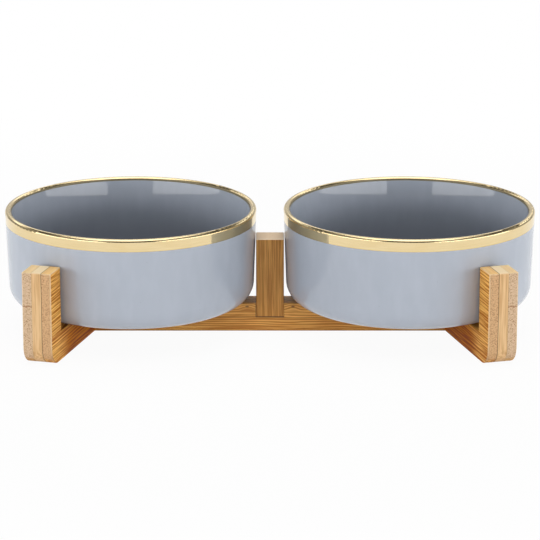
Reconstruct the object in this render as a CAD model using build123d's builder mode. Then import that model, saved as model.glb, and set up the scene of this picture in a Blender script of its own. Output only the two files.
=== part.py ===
from build123d import *
import math
import os

# A double pet bowl: two glazed bowls with gold lips, cradled in a laminated wooden stand.
# Millimetres, +Z up, the origin on the floor under the middle of the stand.
# X runs along the bar from bowl to bowl, and -Y is the front.

# Bowl
bowl_diameter = 155.0
bowl_height = 59.7
wall_taper = 1.95
inner_taper = 3.5
flare_angle = 15.0
flare_height = 22.0
lip_thickness = 3.6
lip_round_share = 0.49
floor_thickness = 5.0
lower_round = 12.0
inner_round = 13.0
foot_margin = 1.5
foot_width = 5.0
foot_height = 1.0
foot_round = 0.4

# Gold band fired round the lip, a skin that lies flush with the glaze
band_skin = 0.3
band_drop_outside = 7.5
band_drop_inside = 2.0

# Bar and centre post
bar_height = 17.8
bar_depth = 17.0
bar_end_margin = 3.0
post_width = 17.2
post_height = 59.0
lap_depth = 8.7

# Legs: each is one L, an arm and an upright, cut from a board of three plies
ply_thickness = 6.1
ply_count = 3
upright_depth = 17.2
leg_height = 58.0
arm_angle = 16.0
arm_offset = 30.0
heel_round = 11.5
elbow_round = 0.8

# Dowels that pin the arms to the bar
dowel_diameter = 8.0
dowel_in_bar = 6.0
dowel_in_arm = 20.0
dowel_tip = 1.0

# Shared small sizes
edge_ease = 0.6
post_clearance = 0.3
leg_clearance = 0.5
dowel_clearance = 0.1
dowel_end_gap = 0.5
overrun = 1.0

# The bowl stands on the flush tops of the bar and the arms
seat = bar_height
bowl_top = seat + bowl_height
underside = seat + foot_height
floor_top = underside + floor_thickness
lip_round = lip_round_share * lip_thickness
outer_slope = math.tan(math.radians(wall_taper))
inner_slope = math.tan(math.radians(inner_taper))
widest_height = bowl_top - lip_round


def outer_radius(height):
    """Radius of the bowl's outer wall at a height above the floor."""
    return bowl_diameter / 2 - (widest_height - height) * outer_slope


# The foot ring stands just inside the rounded lower edge
foot_radius = outer_radius(underside) - lower_round - foot_margin

# Inside the lip the wall flares outwards along an arc, and below that it tapers straight
inner_lip_radius = outer_radius(bowl_top) - lip_thickness
flare_radius = flare_height / (math.sin(math.radians(flare_angle)) - math.sin(math.radians(inner_taper)))
flare_inset = flare_radius * (math.cos(math.radians(inner_taper)) - math.cos(math.radians(flare_angle)))
flare_foot = bowl_top - flare_height
inner_wall_radius = inner_lip_radius - flare_inset
inner_floor_radius = inner_wall_radius - (flare_foot - floor_top) * inner_slope

# The bowls stand just clear of the post between them
half_spacing = outer_radius(post_height) + post_clearance + post_width / 2

# An arm's middle line crosses the bar's middle line at the root.
# The upright's nearer inner corner stands just clear of the bowl.
arm_sine = math.sin(math.radians(arm_angle))
arm_cosine = math.cos(math.radians(arm_angle))
leg_width = ply_count * ply_thickness
arm_root = half_spacing + arm_offset
hold_radius = outer_radius(leg_height) + leg_clearance
corner_offset = arm_offset * arm_cosine - leg_width / 2
upright_inner = math.sqrt(hold_radius**2 - corner_offset**2) - arm_offset * arm_sine
upright_outer = upright_inner + upright_depth
bar_face_reach = bar_depth / 2 / arm_cosine
arm_edge_on_bar = arm_root + bar_face_reach * arm_sine + leg_width / 2 / arm_cosine
bar_length = 2 * (arm_edge_on_bar + bar_end_margin)

sides = {"left": -1, "right": 1}
ends = {"front": -1, "rear": 1}


def arm_plane(x_side, y_end):
    """Upright plane through an arm's middle line: x outwards along the arm, y up."""
    outwards = Vector(x_side * arm_sine, y_end * arm_cosine, 0)
    return Plane(
        origin=(x_side * arm_root, 0, 0),
        x_dir=outwards,
        z_dir=outwards.cross(Vector(0, 0, 1)),
    )


def dowel_plane(x_side, y_end):
    """Plane square to an arm where its middle line meets the bar's side."""
    arm = arm_plane(x_side, y_end)
    return Plane(
        origin=arm.from_local_coords((bar_face_reach, bar_height / 2, 0)),
        z_dir=arm.x_dir,
    )


os.makedirs("parts", exist_ok=True)

# Half section of the whole bowl: x is the radius and y the height
with BuildSketch() as whole_section:
    with BuildLine():
        Polyline(
            (inner_lip_radius, bowl_top),
            (outer_radius(bowl_top), bowl_top),
            (outer_radius(underside), underside),
            (foot_radius, underside),
            (foot_radius, seat),
            (foot_radius - foot_width, seat),
            (foot_radius - foot_width, underside),
            (0, underside),
            (0, floor_top),
            (inner_floor_radius, floor_top),
            (inner_wall_radius, flare_foot),
        )
        RadiusArc((inner_wall_radius, flare_foot), (inner_lip_radius, bowl_top), flare_radius)
    make_face()
    # Corners are rounded from the lip down: lip, inside of the floor, lower edge, foot
    fillet(whole_section.vertices().group_by(Axis.Y)[-1], radius=lip_round)
    fillet(whole_section.vertices().group_by(Axis.Y)[2].sort_by(Axis.X)[-1], radius=inner_round)
    fillet(whole_section.vertices().group_by(Axis.Y)[1].sort_by(Axis.X)[-1], radius=lower_round)
    fillet(whole_section.vertices().group_by(Axis.Y)[0], radius=foot_round)

# The band is the outermost skin of the lip, down to its two lower edges
with BuildSketch() as skin_inner:
    add(whole_section.sketch_local)
    offset(amount=-band_skin)

lip_middle = (outer_radius(bowl_top) + inner_lip_radius) / 2
with BuildSketch() as band_zone:
    with BuildLine():
        Polyline(
            (lip_middle - bowl_height, bowl_top - band_drop_inside),
            (lip_middle, bowl_top - band_drop_inside),
            (lip_middle, bowl_top - band_drop_outside),
            (lip_middle + bowl_height, bowl_top - band_drop_outside),
            (lip_middle + bowl_height, bowl_top + overrun),
            (lip_middle - bowl_height, bowl_top + overrun),
            close=True,
        )
    make_face()

with BuildSketch() as band_section:
    add(whole_section.sketch_local)
    add(skin_inner.sketch_local, mode=Mode.SUBTRACT)
    add(band_zone.sketch_local, mode=Mode.INTERSECT)

with BuildSketch() as clay_section:
    add(whole_section.sketch_local)
    add(band_section.sketch_local, mode=Mode.SUBTRACT)

# Bowls and their gold bands, each turned about the bowl's own axis
for side, x_side in sides.items():
    bowl_axis = Axis((x_side * half_spacing, 0, 0), (0, 0, 1))
    bowl_plane = Plane(bowl_axis.position, x_dir=(1, 0, 0), z_dir=(0, -1, 0))

    with BuildPart() as bowl:
        with BuildSketch(bowl_plane):
            add(clay_section.sketch_local)
        revolve(axis=bowl_axis)
    bowl.part.label = f"{side}_bowl"
    export_step(bowl.part, f"parts/{side}_bowl.step")

    with BuildPart() as rim_band:
        with BuildSketch(bowl_plane):
            add(band_section.sketch_local)
        revolve(axis=bowl_axis)
    rim_band.part.label = f"{side}_rim_band"
    export_step(rim_band.part, f"parts/{side}_rim_band.step")

# Dowels, and the bores that they sit in
with BuildPart() as arm_dowels:
    for x_side in sides.values():
        for y_end in ends.values():
            with BuildSketch(dowel_plane(x_side, y_end).offset(-dowel_in_bar)):
                Circle(dowel_diameter / 2)
            extrude(amount=dowel_in_bar + dowel_in_arm)
    chamfer(arm_dowels.edges().filter_by(GeomType.CIRCLE), length=dowel_tip)
arm_dowels.part.label = "arm_dowels"
export_step(arm_dowels.part, "parts/arm_dowels.step")

with BuildPart() as dowel_bores:
    for x_side in sides.values():
        for y_end in ends.values():
            with BuildSketch(dowel_plane(x_side, y_end).offset(-dowel_in_bar - dowel_end_gap)):
                Circle(dowel_diameter / 2 + dowel_clearance)
            extrude(amount=dowel_in_bar + dowel_in_arm + 2 * dowel_end_gap)

# Bar, with the notch that takes the post and the bores for the dowels
with BuildPart() as centre_bar:
    with BuildSketch():
        Rectangle(bar_length, bar_depth)
    extrude(amount=bar_height)
    fillet(centre_bar.edges().filter_by(Axis.X), radius=edge_ease)
    with BuildSketch(Plane.XY.offset(bar_height - lap_depth)):
        Rectangle(post_width, bar_depth + 2 * overrun)
    extrude(amount=lap_depth + overrun, mode=Mode.SUBTRACT)
    add(dowel_bores.part, mode=Mode.SUBTRACT)
centre_bar.part.label = "centre_bar"
export_step(centre_bar.part, "parts/centre_bar.step")

# Post, let into the bar and flush with its front and back
with BuildPart() as centre_post:
    with BuildSketch(Plane.XY.offset(bar_height - lap_depth)):
        Rectangle(post_width, bar_depth)
    extrude(amount=post_height - bar_height + lap_depth)
    fillet(
        centre_post.edges().filter_by(Axis.Z) + centre_post.edges().group_by(Axis.Z)[-1],
        radius=edge_ease,
    )
centre_post.part.label = "centre_post"
export_step(centre_post.part, "parts/centre_post.step")

# Legs: the L is shaped whole, then parted at its glue lines into plies
for end, y_end in ends.items():
    bar_side = Plane((0, y_end * bar_depth / 2, 0), x_dir=(1, 0, 0), z_dir=(0, y_end, 0))
    for side, x_side in sides.items():
        leg_plane = arm_plane(x_side, y_end)

        with BuildPart() as leg_blank:
            with BuildSketch(leg_plane) as leg_outline:
                with BuildLine():
                    FilletPolyline(
                        (0, bar_height),
                        (upright_inner, bar_height),
                        (upright_inner, leg_height),
                        (upright_outer, leg_height),
                        (upright_outer, 0),
                        (0, 0),
                        radius=[elbow_round, edge_ease, edge_ease, heel_round],
                    )
                    Line((0, 0), (0, bar_height))
                make_face()
            extrude(amount=leg_width / 2, both=True)
            cheeks = leg_blank.faces().filter_by(leg_plane)
            fillet(cheeks.edges(), radius=edge_ease)
            split(bisect_by=bar_side, keep=Keep.TOP)
            add(dowel_bores.part, mode=Mode.SUBTRACT)

        # The outer ply is the one away from the middle of the stand
        away = leg_plane.z_dir * x_side * y_end
        middle = Plane(leg_plane.origin, x_dir=leg_plane.x_dir, z_dir=away)
        inner_glue_line = middle.offset(-ply_thickness / 2)
        outer_glue_line = middle.offset(ply_thickness / 2)

        with BuildPart() as inner_ply:
            add(leg_blank.part)
            split(bisect_by=inner_glue_line, keep=Keep.BOTTOM)
        inner_ply.part.label = f"{end}_{side}_leg_inner_ply"
        export_step(inner_ply.part, f"parts/{end}_{side}_leg_inner_ply.step")

        with BuildPart() as core:
            add(leg_blank.part)
            split(bisect_by=inner_glue_line, keep=Keep.TOP)
            split(bisect_by=outer_glue_line, keep=Keep.BOTTOM)
        core.part.label = f"{end}_{side}_leg_core"
        export_step(core.part, f"parts/{end}_{side}_leg_core.step")

        with BuildPart() as outer_ply:
            add(leg_blank.part)
            split(bisect_by=outer_glue_line, keep=Keep.TOP)
        outer_ply.part.label = f"{end}_{side}_leg_outer_ply"
        export_step(outer_ply.part, f"parts/{end}_{side}_leg_outer_ply.step")
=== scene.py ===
import math

import bpy
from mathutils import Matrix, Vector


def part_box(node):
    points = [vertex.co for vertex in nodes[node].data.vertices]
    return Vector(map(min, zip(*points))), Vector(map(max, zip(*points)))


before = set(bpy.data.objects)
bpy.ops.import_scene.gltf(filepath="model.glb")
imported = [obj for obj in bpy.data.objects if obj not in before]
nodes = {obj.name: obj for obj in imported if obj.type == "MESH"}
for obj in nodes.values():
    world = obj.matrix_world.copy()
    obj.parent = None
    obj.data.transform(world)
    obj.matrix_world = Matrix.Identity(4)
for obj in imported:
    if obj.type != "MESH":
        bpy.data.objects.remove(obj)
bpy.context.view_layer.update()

# A double pet bowl: two grey glazed bowls with gold lips in a laminated bamboo stand.
# Metres, +Z up. X runs along the bar from bowl to bowl, and -Y is the front.

mm = 0.001

# Places that the finishes follow, read from the frame
bowl_low, bowl_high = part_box("right_bowl")
band_low, band_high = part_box("right_rim_band")
bar_low, bar_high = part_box("centre_bar")
post_low, post_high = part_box("centre_post")
leg_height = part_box("front_right_leg_core")[1].z
half_spacing = (bowl_low.x + bowl_high.x) / 2
bowl_radius = (band_high.x - band_low.x) / 2
half_post = post_high.x
seat = bowl_low.z
bowl_top = band_high.z
lip_round = 1.8 * mm
lip_middle = bowl_radius - lip_round

# The legs splay from the bar, and each is glued up from three plies
arm_angle = math.radians(16)
arm_offset = 30 * mm
arm_root = half_spacing + arm_offset
ply_thickness = 6.1 * mm
ply_count = 3
leg_width = ply_count * ply_thickness
upright_outer = 83.8 * mm


class Socket:
    """An output of a node. Arithmetic on it adds the nodes that work it out."""

    def __init__(self, finish, output):
        self.finish = finish
        self.output = output

    def __add__(self, other):
        return self.finish.math("ADD", self, other)

    def __radd__(self, other):
        return self.finish.math("ADD", other, self)

    def __sub__(self, other):
        return self.finish.math("SUBTRACT", self, other)

    def __rsub__(self, other):
        return self.finish.math("SUBTRACT", other, self)

    def __mul__(self, other):
        return self.finish.math("MULTIPLY", self, other)

    def __rmul__(self, other):
        return self.finish.math("MULTIPLY", other, self)

    def __truediv__(self, other):
        return self.finish.math("DIVIDE", self, other)

    def __abs__(self):
        return self.finish.math("ABSOLUTE", self)


class Finish:
    """A node tree of a material or of the world, and the ways to add to it."""

    def __init__(self, holder):
        holder.use_nodes = True
        self.holder = holder
        self.tree = holder.node_tree
        self.tree.nodes.clear()

    def node(self, kind, settings, sockets, output=0):
        """A node of that kind, its settings made first and its sockets then set or linked."""
        made = self.tree.nodes.new(kind)
        for setting, value in settings.items():
            setattr(made, setting, value)
        for socket, value in sockets.items():
            if isinstance(value, Socket):
                self.tree.links.new(value.output, made.inputs[socket])
            else:
                made.inputs[socket].default_value = value
        return Socket(self, made.outputs[output]) if made.outputs else None

    def math(self, operation, *values):
        return self.node("ShaderNodeMath", {"operation": operation}, dict(enumerate(values)))

    def axes(self, vector):
        """The three components of a vector."""
        parted = self.node("ShaderNodeSeparateXYZ", {}, {"Vector": vector})
        return [Socket(self, output) for output in parted.output.node.outputs]

    def point(self, x, y, z):
        return self.node("ShaderNodeCombineXYZ", {}, {"X": x, "Y": y, "Z": z})

    def place(self):
        """The point on the object, in the frame that the object was made in."""
        return self.axes(self.node("ShaderNodeTexCoord", {}, {}, "Object"))

    def facing(self):
        """The way that the surface faces, in the same frame."""
        return self.axes(self.node("ShaderNodeTexCoord", {}, {}, "Normal"))

    def reach(self, x, y):
        """How far a point lies from the middle, in plan."""
        return self.math("SQRT", x * x + y * y)

    def noise(self, vector, scale, detail=2.0, roughness=0.5):
        return self.node("ShaderNodeTexNoise", {}, {
            "Vector": vector, "Scale": scale, "Detail": detail, "Roughness": roughness})

    def cells(self, vector, scale, output="Distance"):
        """Small cells that fill space: the distance from a cell's middle, or a colour of its own."""
        return self.node("ShaderNodeTexVoronoi", {}, {"Vector": vector, "Scale": scale}, output)

    def ray(self, kind):
        """1 for the rays of one kind, 0 for the rest."""
        return self.node("ShaderNodeLightPath", {}, {}, kind)

    def random(self, value):
        """A number from 0 to 1 that stays the same for one value."""
        return self.node("ShaderNodeTexWhiteNoise", {"noise_dimensions": "1D"}, {"W": value})

    def rise(self, value, low, high):
        """0 below low, 1 above high, and smooth between them."""
        return self.node("ShaderNodeMapRange", {"interpolation_type": "SMOOTHSTEP"}, {
            "Value": value, "From Min": low, "From Max": high})

    def near(self, value, target, reach):
        """1 where value is at the target, 0 where it is further off than reach."""
        return 1 - self.rise(abs(value - target), 0, reach)

    def mix(self, share, first, second):
        """A colour between two, by a share from 0 to 1."""
        return self.node("ShaderNodeMix", {"data_type": "RGBA"}, {0: share, 6: first, 7: second}, 2)

    def tint(self, share, colour, dye):
        """A colour dyed by another, by a share from 0 to 1."""
        return self.node("ShaderNodeMix", {"data_type": "RGBA", "blend_type": "MULTIPLY"}, {
            0: share, 6: colour, 7: dye}, 2)

    def bump(self, height, depth):
        """Surface normals for a relief that is depth high where height is 1."""
        return self.node("ShaderNodeBump", {}, {"Height": height, "Distance": depth, "Strength": 1.0})

    def surface(self, **sockets):
        """Ends the tree in one shader, with its sockets named in words joined by underscores."""
        named = {name.replace("_", " "): value for name, value in sockets.items()}
        shader = self.node("ShaderNodeBsdfPrincipled", {}, named)
        self.node("ShaderNodeOutputMaterial", {}, {"Surface": shader})
        return self.holder


def tone(red, green, blue):
    """A colour as it looks on a screen, each part from 0 to 255, as the shaders take it."""
    def linear(part):
        share = part / 255
        return share / 12.92 if share <= 0.04045 else ((share + 0.055) / 1.055) ** 2.4
    return linear(red), linear(green), linear(blue), 1.0


def new_finish(name):
    return Finish(bpy.data.materials.new(name))


def wear(node_name, material):
    """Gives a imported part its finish."""
    slots = nodes[node_name].data.materials
    slots.clear()
    slots.append(material)


# Tones that more than one finish uses
white = tone(255, 255, 255)
glue = tone(92, 62, 36)
# Painted shade for the joint round the post's lap
joint_shade = tone(60, 30, 14)


def grey_glaze():
    """Blue-grey gloss glaze with soft clouds and pinholes, wiped off the foot that the bowl stands on."""
    f = new_finish("grey_glaze")
    x, y, z = f.place()
    across = abs(x) - half_spacing
    here = f.point(x, y, z)
    radius = f.reach(across, y)

    clouds = f.noise(here, scale=22, detail=3)
    flow = f.noise(f.point(x, y, z * 0.35), scale=140, detail=2)
    colour = f.mix(clouds, tone(170, 178, 190), tone(181, 188, 200))
    colour = f.mix(f.rise(flow, 0.35, 0.75) * 0.35, colour, tone(186, 193, 205))

    # Painted shade: the inside of the bowl is a shade darker all over, and darker still low down towards
    # the inner corner
    inner_shade_low = seat + 8 * mm
    inner_shade_high = seat + 54 * mm
    inside = 1 - f.rise(radius, bowl_radius - 8 * mm, bowl_radius - 6 * mm)
    inner_shade = inside * (1 - f.rise(z, inner_shade_low, inner_shade_high))
    colour = f.mix(inside * 0.25 + inner_shade * 0.5, colour, tone(123, 126, 133))

    # Pinholes, few and small
    pinhole_scale = 260.0
    chosen = f.axes(f.cells(here, pinhole_scale, "Color"))[0]
    pinhole = f.near(f.cells(here, pinhole_scale), 0, 0.12) * f.rise(chosen, 0.90, 0.92)
    colour = f.mix(pinhole * 0.35, colour, tone(120, 122, 128))

    # Bare clay on the foot ring, up to a ragged edge
    wiped_low = seat + 0.5 * mm
    wiped_high = seat + 0.75 * mm
    grit = f.noise(here, scale=1500, detail=2)
    ragged = f.noise(here, scale=300, detail=2)
    bare = 1 - f.rise(z + ragged * 0.5 * mm, wiped_low, wiped_high)
    colour = f.mix(bare, colour, f.mix(grit, tone(214, 204, 188), tone(232, 224, 210)))

    gloss = 0.045 + 0.03 * f.noise(here, scale=60, detail=3)
    ripple = f.noise(here, scale=75, detail=1)
    relief = ripple * 0.8 + f.noise(here, scale=900, detail=1) * 0.03 - pinhole * 0.4 + grit * bare
    return f.surface(
        Base_Color=colour,
        Roughness=gloss + bare * 0.65,
        IOR=1.52,
        Normal=f.bump(relief, 0.03 * mm),
    )


def gold_lustre():
    """Fired gold, bright and thin, with the faint drag of the brush round the lip."""
    f = new_finish("gold_lustre")
    x, y, z = f.place()
    across = abs(x) - half_spacing
    turn = f.math("ARCTAN2", y, across)
    round_lip = f.point(turn * bowl_radius * 0.06, z, across * 0.01)
    drag = f.noise(round_lip, scale=1800, detail=3)
    patches = f.noise(f.point(turn * bowl_radius, z * 2, 0), scale=45, detail=2)

    colour = f.mix(drag, tone(232, 208, 158), tone(241, 221, 175))
    colour = f.mix(f.rise(patches, 0.4, 0.8) * 0.4, colour, tone(229, 202, 146))

    # The lower edge of the band is painted by hand, and its gold is thinner there
    worn = 1 - f.rise(z + (drag - 0.5) * 0.5 * mm, band_low.z, band_low.z + 0.45 * mm)
    colour = f.mix(worn * 0.6, colour, tone(196, 164, 108))

    # The gold thins out down the inner edge of the lip, and the glaze shows through
    inner = 1 - f.rise(f.reach(across, y), lip_middle - 0.6 * mm, lip_middle - 0.3 * mm)
    thin = inner * (1 - f.rise(z + (drag - 0.5) * 0.3 * mm, bowl_top - 1.2 * mm, bowl_top - 0.95 * mm))
    colour = f.mix(thin, colour, tone(132, 122, 94))

    # Washing rubs the rounded top a little softer than the band below it
    rubbed = f.rise(z, bowl_top - 2.2 * mm, bowl_top - 1.4 * mm)
    return f.surface(
        Base_Color=colour,
        Metallic=1 - thin * 0.9,
        Roughness=0.03 + 0.04 * drag + 0.03 * patches + 0.15 * worn + 0.25 * thin + 0.11 * rubbed,
        Normal=f.bump(drag * (1 - rubbed), 0.001 * mm),
    )


def bamboo(f, along, height, depth, dark, light, strip, seed, ridge=1.5 * mm, swing=0.14):
    """Solid bamboo: fibres that run along, in strips that lie one above another.

    Gives the colour, the relief of the fibres and the joints between the strips."""
    number = f.math("FLOOR", height / strip)
    own = f.random(number + seed)
    shift = own * 7
    sway = f.noise(f.point(along * 0.05 + shift, height, depth), scale=170, detail=2) - 0.5
    ridges = f.math("SINE", (height + depth * 0.4) * (math.tau / ridge) + sway * 15)
    lines = f.noise(f.point(along * 0.02 + shift, height, depth * 0.5), scale=1200, detail=2, roughness=0.6)
    fibres = f.noise(f.point(along * 0.03 + shift, height, depth), scale=2300, detail=2)
    grain = (lines - 0.5) * 1.3 + (fibres - 0.5) * 0.7
    field = 0.5 + (ridges + sway * 3) * swing + grain + (own - 0.5) * 0.1
    colour = f.mix(f.rise(field, 0.28, 0.72), dark, light)
    joint = f.near(f.math("FRACT", height / strip + 0.5), 0.5, 0.5 * mm / strip)
    return colour, lines * 0.6 + fibres * 0.4 - joint * 0.6, joint


def leg_frame(f):
    """Where a point of any leg lies: along its arm, across its plies and up, with a number for the leg."""
    x, y, z = f.place()
    sine = math.sin(arm_angle)
    cosine = math.cos(arm_angle)
    outwards = abs(x) - arm_root
    sideways = abs(y)
    leg = f.math("SIGN", x) + 2 * f.math("SIGN", y)
    return outwards * sine + sideways * cosine, outwards * cosine - sideways * sine, z, leg


def end_share(f):
    """1 on the faces that look along the arms, 0 on the cheeks and tops."""
    x, y, _ = f.facing()
    facing_out = abs(x) * math.sin(arm_angle) + abs(y) * math.cos(arm_angle)
    return f.rise(facing_out, 0.6, 0.85)


def upright_top(f, z):
    """1 on the sawn tops of the uprights."""
    return f.rise(f.facing()[2], 0.7, 0.9) * f.rise(z, leg_height - 1.2 * mm, leg_height - 0.6 * mm)


def edge_highlight(f, along, across, z):
    """1 on the eased edges round the top and the outer face of an upright, where a highlight is painted."""
    reach = 0.9 * mm
    top = f.rise(z, leg_height - reach, leg_height)
    outer = f.rise(along, upright_outer - reach, upright_outer)
    cheek = f.rise(abs(across), leg_width / 2 - reach, leg_width / 2)
    return f.math("MINIMUM", 1.0, top * outer + outer * cheek + top * cheek)


def glue_lines(f, across):
    """1 in the thin dark lines between the plies, stronger towards the middle of the stand."""
    inner_reach = 0.38 * mm
    outer_reach = 0.24 * mm
    inner = f.near(across, -ply_thickness / 2, inner_reach)
    outer = f.near(across, ply_thickness / 2, outer_reach)
    return inner * 0.9 + outer * 0.3


def outer_plies():
    """Plies with their fibres along the arm, so the outer face of the upright shows their speckled ends."""
    f = new_finish("ply_bamboo")
    along, across, z, leg = leg_frame(f)
    seed = leg * 3.7 + f.math("SIGN", across) * 11.3
    outer = f.rise(across, -mm, mm)
    # The inner ply's tones are deeper and more saturated than the outer ply's: partly painted shade, for
    # the warm shade that the inner cheeks stand in
    dark = f.mix(outer, tone(176, 100, 26), tone(184, 126, 66))
    light = f.mix(outer, tone(254, 199, 108), tone(240, 199, 136))
    colour, relief, joint = bamboo(
        f, along, z + 23 * mm, across, dark, light, strip=60 * mm, seed=seed, ridge=1.9 * mm, swing=0.10)

    # The ends of the fibres, which lie in small round bundles
    section = f.point(along * 0.1, z, across)
    speckle = f.noise(section, scale=2400, detail=1)
    bundle = f.cells(section, scale=1050.0)
    ground = f.rise(speckle, 0.36, 0.62) * 0.5 + f.rise(bundle, 0.15, 0.5) * 0.5
    pale = f.mix(outer, tone(226, 186, 141), tone(228, 200, 167))
    ends = f.mix(ground, tone(150, 104, 64), pale)
    end = end_share(f)

    # Painted shade: the arms are darker and more saturated towards the bar, under the bowls, most of all on
    # their inner cheeks
    arm = 1 - f.rise(z, bar_high.z - 6 * mm, bar_high.z + 4 * mm)
    painted_arm_shade = arm * (1 - f.rise(along, 50 * mm, 72 * mm)) * (1 - outer * 0.7)
    colour = f.tint(painted_arm_shade, colour, tone(214, 168, 58))

    # Speckled ends, pale sawn tops, a painted highlight along the eased edges, and glue
    colour = f.mix(end, colour, ends)
    colour = f.mix(joint * end * outer * 0.85, colour, tone(150, 100, 62))
    sawn = f.mix(outer, tone(252, 212, 148), tone(255, 226, 174))
    colour = f.mix(upright_top(f, z) * 0.8, colour, sawn)
    colour = f.mix(edge_highlight(f, along, across, z) * 0.7, colour, tone(250, 226, 184))
    colour = f.mix(glue_lines(f, across), colour, glue)
    return f.surface(
        Base_Color=colour,
        Roughness=0.46 + 0.14 * speckle + 0.1 * end,
        Specular_IOR_Level=0.06,
        Normal=f.bump(relief + speckle * end * 0.6, 0.10 * mm),
    )


def upright_core():
    """The middle ply, with its fibres upright."""
    f = new_finish("core_bamboo")
    along, across, z, leg = leg_frame(f)
    colour, relief, _ = bamboo(
        f, z, along + 3 * mm, across, tone(204, 158, 102), tone(232, 194, 142),
        strip=60 * mm, seed=leg * 5.1, swing=0.05)
    colour = f.mix(upright_top(f, z), colour, tone(255, 230, 186))
    # Painted highlight along the eased edges
    colour = f.mix(edge_highlight(f, along, across, z) * 0.4, colour, tone(252, 232, 194))
    colour = f.mix(glue_lines(f, across), colour, glue)
    return f.surface(
        Base_Color=colour,
        Roughness=0.48 + 0.12 * relief,
        Normal=f.bump(relief, 0.08 * mm),
    )


def bar_bamboo():
    """The bar, with its fibres from bowl to bowl and a knot each side of the post."""
    f = new_finish("bar_bamboo")
    x, y, z = f.place()
    knot_x = 14.2 * mm
    knot_z = bar_high.z - 2 * mm
    knot_reach = 4.5 * mm
    knot_core = 0.9 * mm
    from_knot_x = abs(x) - knot_x
    from_knot_z = z - knot_z
    distance = f.math("SQRT", from_knot_x * from_knot_x * 0.3 + from_knot_z * from_knot_z)
    swirl = 1 - f.rise(distance, 0, knot_reach)
    wander = f.noise(f.point(x * 0.25, y, z * 0.5), scale=90, detail=1) - 0.5
    colour, relief, joint = bamboo(
        f, x, z + wander * 3 * mm - swirl * 1.6 * mm, y, tone(192, 122, 44), tone(246, 188, 98),
        strip=9 * mm, seed=4.0)
    colour = f.mix(joint * 0.35, colour, tone(120, 76, 38))
    colour = f.mix((1 - f.rise(distance, 0.2 * mm, knot_core)) * 0.8, colour, tone(88, 52, 26))

    # Dark joint line round the post's lap, painted as the shade in its gap, fainter on its right side
    notch_shade = f.near(abs(x), half_post, 0.6 * mm) * f.rise(z, post_low.z - 0.2 * mm, post_low.z)
    notch_shade = notch_shade * (1 - 0.6 * f.rise(x, -mm, mm))
    lap_bed_shade = f.near(z, post_low.z, 0.55 * mm) * (1 - f.rise(abs(x), half_post, half_post + 0.2 * mm))
    colour = f.mix(f.math("MAXIMUM", notch_shade, lap_bed_shade) * 0.9, colour, joint_shade)

    # Painted shade along the lower edge, and ends sawn across the fibres
    underside_shade = 1 - f.rise(z, bar_low.z + 0.2 * mm, bar_low.z + 1.3 * mm)
    colour = f.mix(underside_shade * 0.5, colour, tone(140, 84, 34))
    speckle = f.noise(f.point(x * 0.2, y, z), scale=1900, detail=2, roughness=0.7)
    ends = f.mix(f.rise(speckle, 0.34, 0.66), tone(178, 132, 82), tone(224, 190, 138))
    colour = f.mix(f.rise(abs(x), bar_high.x - 0.2 * mm, bar_high.x), colour, ends)
    return f.surface(
        Base_Color=colour,
        Roughness=0.44 + 0.14 * relief,
        Normal=f.bump(relief, 0.10 * mm),
    )


def post_bamboo():
    """The post: fibres upright, a pale sawn top with a painted highlight on its front and back edges, and
    painted shade at its foot.
    """
    f = new_finish("post_bamboo")
    x, y, z = f.place()
    colour, relief, _ = bamboo(
        f, z, x + 2 * mm, y, tone(179, 117, 43), tone(223, 162, 81),
        strip=30 * mm, seed=9.0, ridge=2.6 * mm, swing=0.07)
    speckle = f.noise(f.point(x, y, z * 0.2), scale=1700, detail=2, roughness=0.7)
    top = f.rise(z, post_high.z - 0.5 * mm, post_high.z - 0.1 * mm)
    # Painted highlight along the front and back edges of the top
    front = f.rise(abs(y), post_high.y - 1.4 * mm, post_high.y - 0.3 * mm)
    ends = f.mix(f.rise(speckle, 0.3, 0.7), tone(238, 203, 164), tone(247, 222, 188))
    colour = f.mix(top, colour, f.mix(front * 0.7, ends, tone(255, 240, 210)))
    # Painted shade round the foot of the post, where it sits in the bar's lap
    lap_bed_shade = 1 - f.rise(z, post_low.z + 0.1 * mm, post_low.z + 0.6 * mm)
    colour = f.mix(lap_bed_shade * 0.9, colour, joint_shade)
    return f.surface(
        Base_Color=colour,
        Roughness=0.46 + 0.12 * relief,
        Normal=f.bump(relief, 0.10 * mm),
    )


def dowel_wood():
    """Plain turned dowels, with their grain along them."""
    f = new_finish("dowel_wood")
    along, across, z, leg = leg_frame(f)
    colour, relief, _ = bamboo(
        f, along, z, across, tone(190, 146, 92), tone(226, 190, 140), strip=40 * mm, seed=leg)
    return f.surface(Base_Color=colour, Roughness=0.55 + 0.1 * relief, Normal=f.bump(relief, 0.1 * mm))


glaze = grey_glaze()
gold = gold_lustre()
for side in ("left", "right"):
    wear(f"{side}_bowl", glaze)
    wear(f"{side}_rim_band", gold)
wear("centre_bar", bar_bamboo())
wear("centre_post", post_bamboo())
wear("arm_dowels", dowel_wood())
ply = outer_plies()
core = upright_core()
for end in ("front", "rear"):
    for side in ("left", "right"):
        wear(f"{end}_{side}_leg_outer_ply", ply)
        wear(f"{end}_{side}_leg_core", core)
        wear(f"{end}_{side}_leg_inner_ply", ply)


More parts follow.
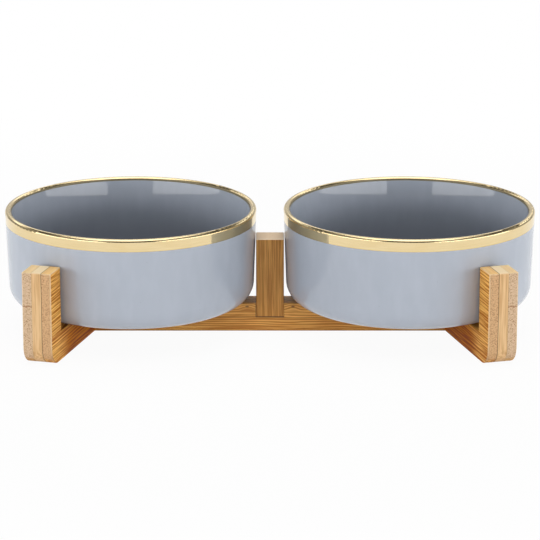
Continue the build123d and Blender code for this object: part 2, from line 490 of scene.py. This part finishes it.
def white_floor():
    """A wide floor, white to the camera and in the gloss, that keeps a soft shadow round the object."""
    half = 6.0
    shadow_share = 0.05
    shadow_reach = 0.25
    plain_from = 0.6
    mesh = bpy.data.meshes.new("floor")
    corners = [(-half, -half, 0), (half, -half, 0), (half, half, 0), (-half, half, 0)]
    mesh.from_pydata(corners, [], [(0, 1, 2, 3)])
    floor = bpy.data.objects.new("floor", mesh)
    bpy.context.scene.collection.objects.link(floor)
    f = new_finish("white_floor")
    x, y, z = f.place()
    grain = f.noise(f.point(x, y, z), scale=900, detail=2)
    paper = f.node("ShaderNodeBsdfPrincipled", {}, {
        "Base Color": f.mix(grain, tone(238, 238, 238), tone(243, 243, 243)),
        "Roughness": 0.9,
        "Specular IOR Level": 0.0,
    })
    glow = f.node("ShaderNodeEmission", {}, {"Color": white, "Strength": 1.0})
    seen = f.ray("Is Camera Ray") + f.ray("Is Glossy Ray") + f.ray("Is Transmission Ray")
    away = f.rise(f.reach(x, y), shadow_reach, plain_from)
    share = f.math("MINIMUM", seen, 1.0) * (1 - shadow_share + shadow_share * away)
    surface = f.node("ShaderNodeMixShader", {}, {0: share, 1: paper, 2: glow})
    f.node("ShaderNodeOutputMaterial", {}, {"Surface": surface})
    mesh.materials.append(f.holder)


def studio_world():
    """Plain white to the camera.

    Otherwise a dim room with a backdrop, a strip on it that shows in the gloss, and a light overhead."""
    room_level = 0.04
    gloss_level = 0.03
    backdrop_level = 0.5
    strip_level = 1.6
    overhead_level = 1.95
    world = bpy.data.worlds.new("studio")
    bpy.context.scene.world = world
    f = Finish(world)

    # Each is placed by the direction of a ray: y goes to the back and z goes up
    x, y, z = f.axes(f.node("ShaderNodeTexCoord", {}, {}, "Generated"))
    backdrop = f.rise(y, 0.80, 0.92) * backdrop_level
    strip = f.near(z, 0.47, 0.16) * f.rise(y, 0.46, 0.60)
    overhead = f.rise(z, 0.76, 0.86) * (1 - f.rise(abs(x), 0.42, 0.46)) * overhead_level
    gloss = f.ray("Is Glossy Ray") * (gloss_level + strip_level * strip)
    room = room_level + gloss + f.math("MAXIMUM", backdrop, overhead)
    camera = f.ray("Is Camera Ray")
    background = f.node("ShaderNodeBackground", {}, {
        "Color": white, "Strength": camera + (1 - camera) * room})
    f.node("ShaderNodeOutputWorld", {}, {"Surface": background})


# The soft boxes stand this far off, and the share of their light that only lights stands just behind
box_distance = 1.4
wash_distance = 1.41


def soft_box(name, azimuth, width, height, lift, watts, shine=0.62):
    """A soft box that stands round the object and faces it, its azimuth in degrees from the camera.

    The share of its light called shine also shows in the gloss, and the rest only lights."""
    turn = math.radians(azimuth)
    for part, share, distance in (("shine", shine, box_distance), ("wash", 1 - shine, wash_distance)):
        light = bpy.data.lights.new(f"{name}_{part}", "AREA")
        light.shape = "RECTANGLE"
        light.size = width
        light.size_y = height
        light.energy = watts * share
        box = bpy.data.objects.new(f"{name}_{part}", light)
        box.location = (distance * math.sin(turn), -distance * math.cos(turn), lift + height / 2)
        box.rotation_euler = (math.radians(90), 0, turn)
        box.visible_camera = False
        box.visible_glossy = part == "shine"
        bpy.context.scene.collection.objects.link(box)


def photo_camera():
    """Looks down a little from straight in front, through a long lens."""
    distance = 1.8
    height = 0.5554
    tilt = 16.069
    camera = bpy.data.cameras.new("camera")
    camera.sensor_width = 36.0
    camera.lens = 201.17
    viewer = bpy.data.objects.new("camera", camera)
    viewer.location = (0, -distance, height)
    viewer.rotation_euler = (math.radians(90 - tilt), 0, 0)
    bpy.context.scene.collection.objects.link(viewer)
    bpy.context.scene.camera = viewer


white_floor()
studio_world()
for side, way in (("left", -1), ("right", 1)):
    soft_box(f"{side}_key", way * 42, width=0.95, height=0.36, lift=0.01, watts=5.0)
    soft_box(f"{side}_fill", way * 78, width=0.9, height=0.36, lift=0.01, watts=4.25)
    soft_box(f"{side}_card", way * 56, width=1.6, height=1.7, lift=0.41, watts=2.2, shine=0.9)
    soft_box(f"{side}_rear_card", way * 118, width=1.6, height=1.0, lift=0.01, watts=2.1, shine=0.5)
photo_camera()
bpy.context.scene.view_settings.view_transform = "Standard"
